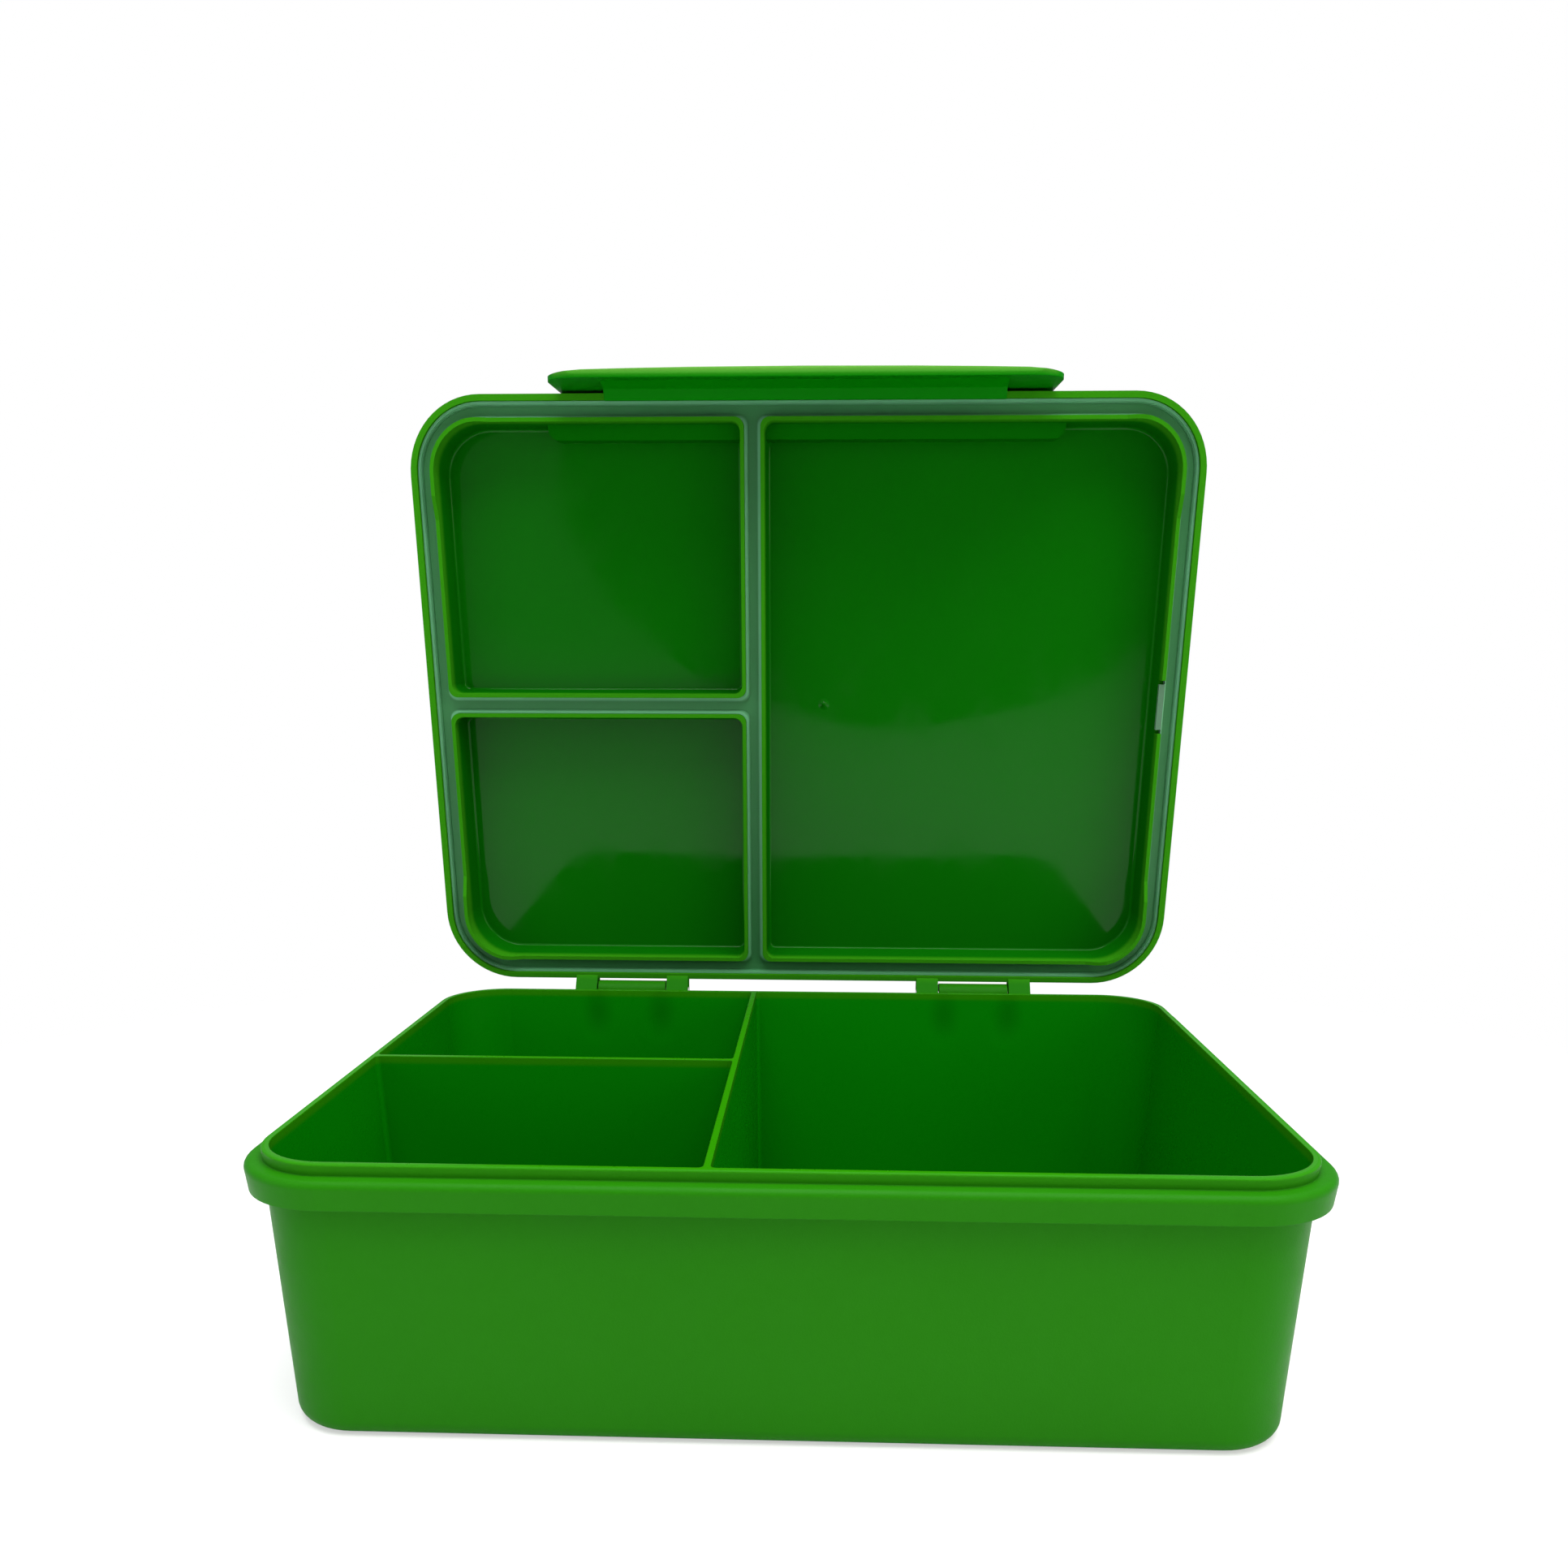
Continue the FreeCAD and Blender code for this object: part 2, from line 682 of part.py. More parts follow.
def make_pin(label, radius, length, y, z, start):
    """A round pin along X."""
    pin = DOCUMENT.addObject("Part::Cylinder", label)
    pin.Label = label
    pin.setExpression("Radius", cells(radius))
    pin.setExpression("Height", cells(length))
    turn = FreeCAD.Rotation(FreeCAD.Vector(0, 1, 0), 90)
    pin.Placement = FreeCAD.Placement(FreeCAD.Vector(value(start), value(y), value(z)), turn)
    return pin


def make_pins():
    """The two rear hinge pins and the two short latch pins, held by the lid."""
    hinge_length = "(block_width + 2 * block_gap + 2 * lug_width)"
    pins = []
    for side, sign in (("left", "-"), ("right", "")):
        start = f"({sign}hinge_x - {hinge_length} / 2)"
        name = f"hinge_pin_{side}"
        pins.append(make_pin(name, "hinge_pin / 2", hinge_length, "hinge_y", "hinge_z", start))
    ends = (
        ("left", "-(pocket_half + ear_width)"),
        ("right", "(pocket_half + ear_width - latch_pin_length)"),
    )
    for side, start in ends:
        name = f"latch_pin_{side}"
        pins.append(make_pin(name, "latch_pin / 2", "latch_pin_length", "latch_y", "latch_z", start))
    return pins


def swing_open(pieces):
    """Turn the lid's pieces about the rear hinge axis, from closed to standing open."""
    axis = FreeCAD.Vector(0, value("hinge_y"), value("hinge_z"))
    turn = FreeCAD.Rotation(FreeCAD.Vector(1, 0, 0), -value("lid_open_angle"))
    swing = FreeCAD.Placement(FreeCAD.Vector(0, 0, 0), turn, axis)
    for piece in pieces:
        piece.Placement = swing.multiply(piece.Placement)


def check(pieces):
    """Stop before anything is written if a feature or a shape has failed."""
    for item in DOCUMENT.Objects:
        assert not {"Invalid", "Error"} & set(item.State), f"{item.Label} failed"
    for piece in pieces:
        assert not piece.Shape.isNull() and piece.Shape.isValid(), f"{piece.Label} is not valid"
        assert len(piece.Shape.Solids) == 1, f"{piece.Label} is not one solid"


tub = make_tub()
lid_pieces = [make_lid(), make_seal(), make_latch(), *make_pins()]
DOCUMENT.recompute()
swing_open(lid_pieces)
DOCUMENT.recompute()
PIECES = [tub, *lid_pieces]
check(PIECES)
os.makedirs("parts", exist_ok=True)
for piece in PIECES:
    piece.Shape.exportStep(f"parts/{piece.Label}.step")
    print(piece.Label, round(piece.Shape.Volume))
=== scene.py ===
"""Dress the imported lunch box: moulded green plastic, milky seal, steel pins and a white studio."""
import logging
import math
from dataclasses import asdict, dataclass, field
from enum import Enum

import bmesh
import bpy
from mathutils import Matrix, Vector


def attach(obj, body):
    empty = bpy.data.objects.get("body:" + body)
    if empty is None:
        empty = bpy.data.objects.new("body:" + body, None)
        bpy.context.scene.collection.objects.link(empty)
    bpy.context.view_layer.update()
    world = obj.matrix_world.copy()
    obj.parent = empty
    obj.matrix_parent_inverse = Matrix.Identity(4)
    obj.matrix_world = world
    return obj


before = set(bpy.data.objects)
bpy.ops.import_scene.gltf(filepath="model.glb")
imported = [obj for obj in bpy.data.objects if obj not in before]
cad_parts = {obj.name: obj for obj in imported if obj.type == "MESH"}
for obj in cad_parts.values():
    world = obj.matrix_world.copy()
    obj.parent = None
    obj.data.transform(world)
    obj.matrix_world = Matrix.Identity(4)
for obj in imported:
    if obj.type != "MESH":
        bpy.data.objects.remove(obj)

LOG = logging.getLogger("lunch_box")
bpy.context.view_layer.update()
MILLI = 0.001
PHOTO_SIDE = 1932.0
EDGE_FADE = 0.0015
SINK_FLATNESS = 0.6
HINGE_Y = 0.0871
HINGE_Z = 0.05925
LID_OPENING = math.radians(86.9)
LID_LEAN = math.radians(90.0) - LID_OPENING
MIX_FACTOR = 0
MIX_FIRST = 6
MIX_SECOND = 7
MIX_RESULT = 2
DRIFT_SCALE = 14.0
SCUFF_SCALE = 90.0
COARSE_SCALE = 420.0
FINE_SCALE = 2600.0
FINE_SHARE = 0.7
COARSE_SHARE = 0.3

Colour = tuple[float, float, float]
Place = tuple[float, float, float]
Socket = bpy.types.NodeSocket


class Body(Enum):
    """The rigid bodies that pieces ride on."""

    TUB = "tub"
    LID = "lid"
    LATCH = "latch"


class Slot(Enum):
    """Material slots of the record."""

    TUB = "tub_plastic"
    LID = "lid_plastic"
    SEAL = "seal_silicone"
    LATCH = "latch_plastic"
    PIN = "pin_steel"


class NodeGraph:
    """A small helper that adds and wires shader nodes."""

    def __init__(self, tree: bpy.types.NodeTree) -> None:
        """Keep the tree that nodes are added to.

        Args:
            tree: The node tree of a material, a world or a group.
        """
        self.tree = tree

    def add(self, kind: str, **settings: object) -> bpy.types.Node:
        """Add a node and set its properties.

        Args:
            kind: The node's Blender type name.
            settings: Properties of the node.

        Returns:
            The new node.
        """
        node = self.tree.nodes.new(kind)
        for name, setting in settings.items():
            setattr(node, name, setting)
        return node

    def feed(self, source: object, target: Socket) -> None:
        """Link a socket, or set a plain value, into an input socket.

        Args:
            source: The socket to link from, or the value to set.
            target: The input socket.
        """
        if isinstance(source, bpy.types.NodeSocket):
            self.tree.links.new(source, target)
        else:
            target.default_value = source

    def math(self, operation: str, *values: object, clamp: bool = False) -> Socket:
        """Add a Math node.

        Args:
            operation: The node's operation.
            values: Its inputs, sockets or numbers.
            clamp: Whether the result is held between 0 and 1.

        Returns:
            The result socket.
        """
        node = self.add("ShaderNodeMath", operation=operation, use_clamp=clamp)
        for entry, target in zip(values, node.inputs):
            self.feed(entry, target)
        return node.outputs[0]

    def blend(self, factor: object, first: object, second: object, mode: str = "MIX") -> Socket:
        """Mix two colours.

        Args:
            factor: Share of the second colour.
            first: The first colour, a socket or four numbers.
            second: The second colour, a socket or four numbers.
            mode: The blend type.

        Returns:
            The mixed colour's socket.
        """
        node = self.add("ShaderNodeMix", data_type="RGBA", blend_type=mode)
        self.feed(factor, node.inputs[MIX_FACTOR])
        self.feed(first, node.inputs[MIX_FIRST])
        self.feed(second, node.inputs[MIX_SECOND])
        return node.outputs[MIX_RESULT]

    def noise(self, place: Socket, scale: float, detail: float, roughness: float = 0.5) -> Socket:
        """Add a noise texture on a vector.

        Args:
            place: The vector that places the noise.
            scale: How fine the noise is.
            detail: How many octaves it has.
            roughness: How strong the finer octaves are.

        Returns:
            The noise's factor socket.
        """
        node = self.add("ShaderNodeTexNoise")
        self.feed(place, node.inputs["Vector"])
        node.inputs["Scale"].default_value = scale
        node.inputs["Detail"].default_value = detail
        node.inputs["Roughness"].default_value = roughness
        return node.outputs["Fac"]

    def spread(
        self, factor: Socket, low: object, high: object, start: float = 0.0, end: float = 1.0
    ) -> Socket:
        """Map a factor from a start and end to a low and high value.

        Args:
            factor: The socket to map.
            low: The result at the start.
            high: The result at the end.
            start: The factor that gives the low value.
            end: The factor that gives the high value.

        Returns:
            The mapped value's socket.
        """
        node = self.add("ShaderNodeMapRange")
        self.feed(factor, node.inputs["Value"])
        self.feed(start, node.inputs["From Min"])
        self.feed(end, node.inputs["From Max"])
        self.feed(low, node.inputs["To Min"])
        self.feed(high, node.inputs["To Max"])
        return node.outputs["Result"]


def new_group(name: str, inputs: dict[str, str], outputs: dict[str, str]) -> bpy.types.NodeTree:
    """Make an empty shader node group with named sockets.

    Args:
        name: The group's name.
        inputs: Input names and socket types.
        outputs: Output names and socket types.

    Returns:
        The group's tree.
    """
    tree = bpy.data.node_groups.new(name, "ShaderNodeTree")
    for label, kind in inputs.items():
        tree.interface.new_socket(name=label, in_out="INPUT", socket_type=kind)
    for label, kind in outputs.items():
        tree.interface.new_socket(name=label, in_out="OUTPUT", socket_type=kind)
    return tree


def moulded_skin_group() -> bpy.types.NodeTree:
    """Build the group for moulded plastic: slow tone drift, fine and coarse grain, and scuffs.

    Returns:
        The group's tree, with colour, roughness and height outputs.
    """
    tree = new_group(
        "moulded_skin",
        {
            "Vector": "NodeSocketVector",
            "Colour": "NodeSocketColor",
            "Drift": "NodeSocketFloat",
            "Roughness": "NodeSocketFloat",
            "Grain": "NodeSocketFloat",
        },
        {"Colour": "NodeSocketColor", "Roughness": "NodeSocketFloat", "Height": "NodeSocketFloat"},
    )
    graph = NodeGraph(tree)
    source = graph.add("NodeGroupInput")
    sink = graph.add("NodeGroupOutput")
    place = source.outputs["Vector"]
    slow = graph.noise(place, DRIFT_SCALE, 2.0)
    fine = graph.noise(place, FINE_SCALE, 2.0, 0.65)
    coarse = graph.noise(place, COARSE_SCALE, 3.0, 0.6)
    shift = graph.math("MULTIPLY", graph.math("SUBTRACT", slow, 0.5), source.outputs["Drift"])
    gain = graph.math("ADD", 1.0, shift)
    tone = graph.add("ShaderNodeHueSaturation")
    graph.feed(gain, tone.inputs["Value"])
    graph.feed(source.outputs["Colour"], tone.inputs["Color"])
    graph.feed(tone.outputs["Color"], sink.inputs["Colour"])
    scuff = graph.spread(graph.noise(place, SCUFF_SCALE, 5.0, 0.7), -0.05, 0.07, 0.35, 0.7)
    rough = graph.math("ADD", source.outputs["Roughness"], scuff, clamp=True)
    graph.feed(rough, sink.inputs["Roughness"])
    pits = graph.math("MULTIPLY", fine, FINE_SHARE)
    waves = graph.math("MULTIPLY", coarse, COARSE_SHARE)
    grain = graph.math("ADD", pits, waves)
    graph.feed(graph.math("MULTIPLY", grain, source.outputs["Grain"]), sink.inputs["Height"])
    return tree


def shell_inside_group() -> bpy.types.NodeTree:
    """Build the group that tells the inside of a drafted rounded box from its outside.

    Returns:
        The group's tree, with a mask that is 1 inside the middle of the wall.
    """
    tree = new_group(
        "shell_inside",
        {
            "Vector": "NodeSocketVector",
            "Half X": "NodeSocketFloat",
            "Half Y": "NodeSocketFloat",
            "Corner": "NodeSocketFloat",
            "Top": "NodeSocketFloat",
            "Draft": "NodeSocketFloat",
            "Floor": "NodeSocketFloat",
        },
        {"Inside": "NodeSocketFloat"},
    )
    graph = NodeGraph(tree)
    source = graph.add("NodeGroupInput")
    sink = graph.add("NodeGroupOutput")
    split = graph.add("ShaderNodeSeparateXYZ")
    graph.feed(source.outputs["Vector"], split.inputs[0])
    height = split.outputs["Z"]
    drop = graph.math("SUBTRACT", source.outputs["Top"], height)
    lean = graph.math("MULTIPLY", drop, source.outputs["Draft"])
    corner = source.outputs["Corner"]
    reach = []
    for axis, half in (("X", "Half X"), ("Y", "Half Y")):
        side = graph.math("SUBTRACT", graph.math("SUBTRACT", source.outputs[half], lean), corner)
        past = graph.math("SUBTRACT", graph.math("ABSOLUTE", split.outputs[axis]), side)
        reach.append(graph.math("MAXIMUM", past, 0.0))
    squares = [graph.math("POWER", item, 2.0) for item in reach]
    distance = graph.math("SQRT", graph.math("ADD", *squares))
    within = graph.math("LESS_THAN", distance, corner)
    above = graph.math("GREATER_THAN", height, source.outputs["Floor"])
    graph.feed(graph.math("MULTIPLY", within, above), sink.inputs["Inside"])
    return tree


def sink_marks_group() -> bpy.types.NodeTree:
    """Build the group for the faint dips in the rear wall where the hinge gussets meet it.

    Returns:
        The group's tree, with a height that falls to -1 in the middle of each dip.
    """
    tree = new_group(
        "sink_marks",
        {
            "Vector": "NodeSocketVector",
            "Hinge X": "NodeSocketFloat",
            "Spread": "NodeSocketFloat",
            "Level": "NodeSocketFloat",
            "Behind": "NodeSocketFloat",
            "Radius": "NodeSocketFloat",
        },
        {"Height": "NodeSocketFloat"},
    )
    graph = NodeGraph(tree)
    source = graph.add("NodeGroupInput")
    sink = graph.add("NodeGroupOutput")
    split = graph.add("ShaderNodeSeparateXYZ")
    graph.feed(source.outputs["Vector"], split.inputs[0])
    aside = graph.math("ABSOLUTE", split.outputs["X"])
    from_hinge = graph.math("ABSOLUTE", graph.math("SUBTRACT", aside, source.outputs["Hinge X"]))
    from_gusset = graph.math("SUBTRACT", from_hinge, source.outputs["Spread"])
    from_level = graph.math("SUBTRACT", split.outputs["Z"], source.outputs["Level"])
    lift = graph.math("MULTIPLY", from_level, SINK_FLATNESS)
    squares = graph.math("ADD", graph.math("POWER", from_gusset, 2.0), graph.math("POWER", lift, 2.0))
    node = graph.add("ShaderNodeMapRange", interpolation_type="SMOOTHSTEP")
    graph.feed(graph.math("SQRT", squares), node.inputs["Value"])
    graph.feed(source.outputs["Radius"], node.inputs["From Max"])
    node.inputs["To Min"].default_value = -1.0
    node.inputs["To Max"].default_value = 0.0
    rear = graph.math("GREATER_THAN", split.outputs["Y"], source.outputs["Behind"])
    graph.feed(graph.math("MULTIPLY", node.outputs["Result"], rear), sink.inputs["Height"])
    return tree


def lid_depth_group() -> bpy.types.NodeTree:
    """Build the group that measures how deep a point lies behind the open lid's rim.

    Returns:
        The group's tree, with a mask that is 1 on the lid's inner panel.
    """
    tree = new_group(
        "lid_depth",
        {
            "Vector": "NodeSocketVector",
            "Hinge Y": "NodeSocketFloat",
            "Hinge Z": "NodeSocketFloat",
            "Lean": "NodeSocketFloat",
            "Start": "NodeSocketFloat",
            "End": "NodeSocketFloat",
        },
        {"Panel": "NodeSocketFloat"},
    )
    graph = NodeGraph(tree)
    source = graph.add("NodeGroupInput")
    sink = graph.add("NodeGroupOutput")
    split = graph.add("ShaderNodeSeparateXYZ")
    graph.feed(source.outputs["Vector"], split.inputs[0])
    back = graph.math("SUBTRACT", split.outputs["Y"], source.outputs["Hinge Y"])
    rise = graph.math("SUBTRACT", split.outputs["Z"], source.outputs["Hinge Z"])
    along = graph.math("MULTIPLY", back, graph.math("COSINE", source.outputs["Lean"]))
    across = graph.math("MULTIPLY", rise, graph.math("SINE", source.outputs["Lean"]))
    depth = graph.math("ADD", along, across)
    node = graph.add("ShaderNodeMapRange", interpolation_type="SMOOTHSTEP")
    graph.feed(depth, node.inputs["Value"])
    graph.feed(source.outputs["Start"], node.inputs["From Min"])
    graph.feed(source.outputs["End"], node.inputs["From Max"])
    graph.feed(node.outputs["Result"], sink.inputs["Panel"])
    return tree


def height_band_group() -> bpy.types.NodeTree:
    """Build the group that finds the top edge of a standing piece.

    Returns:
        The group's tree, with a mask that rises from 0 to 1 between two heights.
    """
    tree = new_group(
        "height_band",
        {
            "Vector": "NodeSocketVector",
            "Start": "NodeSocketFloat",
            "End": "NodeSocketFloat",
            "Before": "NodeSocketFloat",
        },
        {"Edge": "NodeSocketFloat"},
    )
    graph = NodeGraph(tree)
    source = graph.add("NodeGroupInput")
    sink = graph.add("NodeGroupOutput")
    split = graph.add("ShaderNodeSeparateXYZ")
    graph.feed(source.outputs["Vector"], split.inputs[0])
    node = graph.add("ShaderNodeMapRange", interpolation_type="SMOOTHSTEP")
    graph.feed(split.outputs["Z"], node.inputs["Value"])
    graph.feed(source.outputs["Start"], node.inputs["From Min"])
    graph.feed(source.outputs["End"], node.inputs["From Max"])
    room = graph.math("SUBTRACT", source.outputs["Before"], split.outputs["Y"])
    ahead = graph.math("DIVIDE", room, EDGE_FADE, clamp=True)
    graph.feed(graph.math("MULTIPLY", node.outputs["Result"], ahead), sink.inputs["Edge"])
    return tree


def tab_box_group() -> bpy.types.NodeTree:
    """Build the group that finds the seal's pull tab between two widths and two heights.

    Returns:
        The group's tree, with a mask that is 1 on the tab.
    """
    tree = new_group(
        "tab_box",
        {
            "Vector": "NodeSocketVector",
            "Low X": "NodeSocketFloat",
            "High X": "NodeSocketFloat",
            "Low Z": "NodeSocketFloat",
            "High Z": "NodeSocketFloat",
        },
        {"Tab": "NodeSocketFloat"},
    )
    graph = NodeGraph(tree)
    source = graph.add("NodeGroupInput")
    sink = graph.add("NodeGroupOutput")
    split = graph.add("ShaderNodeSeparateXYZ")
    graph.feed(source.outputs["Vector"], split.inputs[0])
    within = []
    for axis in ("X", "Z"):
        past = graph.math("GREATER_THAN", split.outputs[axis], source.outputs[f"Low {axis}"])
        short = graph.math("LESS_THAN", split.outputs[axis], source.outputs[f"High {axis}"])
        within.append(graph.math("MULTIPLY", past, short))
    graph.feed(graph.math("MULTIPLY", *within), sink.inputs["Tab"])
    return tree


@dataclass(frozen=True)
class TabZone:
    """Where the pull tab lies on the open lid's seal, in metres."""

    low_x: float
    high_x: float
    low_z: float
    high_z: float


@dataclass(frozen=True)
class EdgeZone:
    """The heights between which a thin edge takes another tone (a painted highlight on the tub's lip
    and the latch's grip, a darker band on the lid's hinge lugs), and the depth where it ends, in
    metres.
    """

    start: float
    end: float
    before: float = 1.0


@dataclass(frozen=True)
class LidZone:
    """Where the lid's inner panel lies behind its rim, in metres and radians."""

    start: float
    end: float
    hinge_y: float = HINGE_Y
    hinge_z: float = HINGE_Z
    lean: float = LID_LEAN


@dataclass(frozen=True)
class SinkZone:
    """Where the sink marks lie on the tub's rear wall, in metres."""

    hinge_x: float
    spread: float
    level: float
    behind: float
    radius: float


@dataclass(frozen=True)
class ShellZone:
    """The mid-wall surface that parts a tub's inside from its outside, in metres."""

    half_x: float
    half_y: float
    corner: float
    top: float
    draft: float
    floor: float


Zone = ShellZone | LidZone | SinkZone | EdgeZone | TabZone


def zone_mask(graph: NodeGraph, finder: bpy.types.NodeTree, place: Socket, zone: Zone) -> Socket:
    """Place a group that finds a zone of a piece.

    Args:
        graph: The material's graph.
        finder: The group.
        place: Object coordinates.
        zone: The zone's sizes, named as the group's inputs.

    Returns:
        The zone's mask.
    """
    group = graph.add("ShaderNodeGroup", node_tree=finder)
    graph.feed(place, group.inputs["Vector"])
    for label, size in asdict(zone).items():
        group.inputs[label.replace("_", " ").title()].default_value = size
    return group.outputs[0]


@dataclass(frozen=True)
class PlasticFinish:
    """A moulded plastic, with an optional smoother inside."""

    name: str
    colour: Colour
    roughness: float
    grain: float
    drift: float = 0.16
    inner_colour: Colour | None = None
    inner_roughness: float = 0.3
    inner_grain: float = 0.15
    grain_strength: float = 0.35
    grain_depth: float = 0.00012
    edge_radius: float = 0.0004
    specular: float = 0.5
    inner_specular: float = 0.5
    edge_colour: Colour | None = None
    edge_zone: EdgeZone | None = None
    zone: ShellZone | LidZone | None = None
    gloss_zone: LidZone | None = None
    warp: float = 0.0
    warp_scale: float = 16.0
    sinks: SinkZone | None = None
    sink_depth: float = 0.0004
    sink_shade: float = 0.22

    def make(self, skin: bpy.types.NodeTree, inside: bpy.types.NodeTree | None) -> bpy.types.Material:
        """Build the material.

        Args:
            skin: The moulded skin group.
            inside: The group that finds the finish's inner zone, if it has one.

        Returns:
            The material.
        """
        material = bpy.data.materials.new(self.name)
        material.use_nodes = True
        graph = NodeGraph(material.node_tree)
        shader = material.node_tree.nodes["Principled BSDF"]
        place = graph.add("ShaderNodeTexCoord").outputs["Object"]
        group = graph.add("ShaderNodeGroup", node_tree=skin)
        graph.feed(place, group.inputs["Vector"])
        group.inputs["Drift"].default_value = self.drift
        colour: object = (*self.colour, 1.0)
        rough: object = self.roughness
        strength: object = self.grain
        gloss: object = self.specular
        relief: object = 1.0
        if self.zone is not None:
            # the inner zone's colour: the tub's own inside tone, and painted shade on the open lid's
            # inner panel
            mask = zone_mask(graph, inside, place, self.zone)
            inner = self.inner_colour or self.colour
            colour = graph.blend(mask, (*self.colour, 1.0), (*inner, 1.0))
            if self.gloss_zone is not None:
                mask = zone_mask(graph, inside, place, self.gloss_zone)
                relief = mask
            rough = graph.spread(mask, self.roughness, self.inner_roughness)
            strength = graph.spread(mask, self.grain, self.grain * self.inner_grain)
            gloss = graph.spread(mask, self.specular, self.inner_specular)
        if self.edge_zone is not None:
            # the edge band's colour: a painted highlight on lit top edges, or a darker band on the
            # lid's hinge lugs
            edge_mask = zone_mask(graph, height_band_group(), place, self.edge_zone)
            colour = graph.blend(edge_mask, colour, (*self.edge_colour, 1.0))
        if self.sinks is not None:
            # painted shade: the colour darkens towards the middle of each sink mark's dip
            dip = zone_mask(graph, sink_marks_group(), place, self.sinks)
            shade = graph.math("MULTIPLY", dip, -self.sink_shade)
            colour = graph.blend(shade, colour, (0.0, 0.0, 0.0, 1.0))
        graph.feed(colour, group.inputs["Colour"])
        graph.feed(rough, group.inputs["Roughness"])
        graph.feed(strength, group.inputs["Grain"])
        graph.feed(group.outputs["Colour"], shader.inputs["Base Color"])
        graph.feed(group.outputs["Roughness"], shader.inputs["Roughness"])
        bump = graph.add("ShaderNodeBump")
        graph.feed(graph.math("MULTIPLY", relief, self.grain_strength), bump.inputs["Strength"])
        bump.inputs["Distance"].default_value = self.grain_depth
        graph.feed(group.outputs["Height"], bump.inputs["Height"])
        if self.edge_radius > 0.0:
            edge = graph.add("ShaderNodeBevel", samples=8)
            edge.inputs["Radius"].default_value = self.edge_radius
            graph.feed(edge.outputs["Normal"], bump.inputs["Normal"])
        if self.sinks is not None:
            dips = graph.add("ShaderNodeBump")
            dips.inputs["Distance"].default_value = self.sink_depth
            graph.feed(dip, dips.inputs["Height"])
            if self.edge_radius > 0.0:
                graph.feed(edge.outputs["Normal"], dips.inputs["Normal"])
            graph.feed(dips.outputs["Normal"], bump.inputs["Normal"])
        if self.warp > 0.0:
            sag = graph.add("ShaderNodeBump")
            graph.feed(relief, sag.inputs["Strength"])
            sag.inputs["Distance"].default_value = self.warp
            graph.feed(graph.noise(place, self.warp_scale, 1.0), sag.inputs["Height"])
            graph.feed(sag.outputs["Normal"], bump.inputs["Normal"])
        graph.feed(bump.outputs["Normal"], shader.inputs["Normal"])
        graph.feed(gloss, shader.inputs["Specular IOR Level"])
        return material


@dataclass(frozen=True)
class SiliconeFinish:
    """Milky silicone that takes on the green of what is behind it."""

    name: str = Slot.SEAL.value
    colour: Colour = (0.106, 0.332, 0.172)
    dust: Colour = (0.126, 0.355, 0.186)
    # painted shade: the darker colour deep in the seal's channel
    bed: Colour = (0.038, 0.188, 0.062)
    # painted shade: the pull tab's colour is darkened
    tab: Colour = (0.080, 0.172, 0.102)
    roughness: float = 0.42
    specular: float = 0.2
    cloud_scale: float = 60.0
    haze_scale: float = 220.0
    pore_scale: float = 900.0
    pore_strength: float = 0.2
    pore_depth: float = 0.0001
    bleed: float = 0.25
    bleed_radius: Colour = (0.6, 1.0, 0.6)
    bleed_reach: float = 0.0015
    tab_zone: TabZone = TabZone(low_x=0.1025, high_x=0.10495, low_z=0.09, high_z=0.20)
    zone: LidZone = LidZone(start=0.0009, end=0.0024)

    def make(self, depth: bpy.types.NodeTree) -> bpy.types.Material:
        """Build the material.

        Args:
            depth: The group that measures depth behind the lid's rim.

        Returns:
            The material.
        """
        material = bpy.data.materials.new(self.name)
        material.use_nodes = True
        graph = NodeGraph(material.node_tree)
        shader = material.node_tree.nodes["Principled BSDF"]
        place = graph.add("ShaderNodeTexCoord").outputs["Object"]
        cloud = graph.spread(graph.noise(place, self.cloud_scale, 4.0, 0.6), 0.0, 0.6, 0.35, 0.75)
        flank = graph.blend(cloud, (*self.colour, 1.0), (*self.dust, 1.0))
        # painted shade that darkens the seal deeper in its channel
        channel_shade_mask = zone_mask(graph, depth, place, self.zone)
        shade = graph.blend(channel_shade_mask, flank, (*self.bed, 1.0))
        # painted shade on the pull tab
        tab_shade_mask = zone_mask(graph, tab_box_group(), place, self.tab_zone)
        shade = graph.blend(tab_shade_mask, shade, (*self.tab, 1.0))
        graph.feed(shade, shader.inputs["Base Color"])
        haze = graph.noise(place, self.haze_scale, 3.0)
        rough = graph.spread(haze, self.roughness - 0.06, self.roughness + 0.1)
        graph.feed(rough, shader.inputs["Roughness"])
        bump = graph.add("ShaderNodeBump")
        bump.inputs["Strength"].default_value = self.pore_strength
        bump.inputs["Distance"].default_value = self.pore_depth
        graph.feed(graph.noise(place, self.pore_scale, 2.0), bump.inputs["Height"])
        graph.feed(bump.outputs["Normal"], shader.inputs["Normal"])
        shader.inputs["Specular IOR Level"].default_value = self.specular
        shader.inputs["Subsurface Weight"].default_value = self.bleed
        shader.inputs["Subsurface Radius"].default_value = self.bleed_radius
        shader.inputs["Subsurface Scale"].default_value = self.bleed_reach
        return material


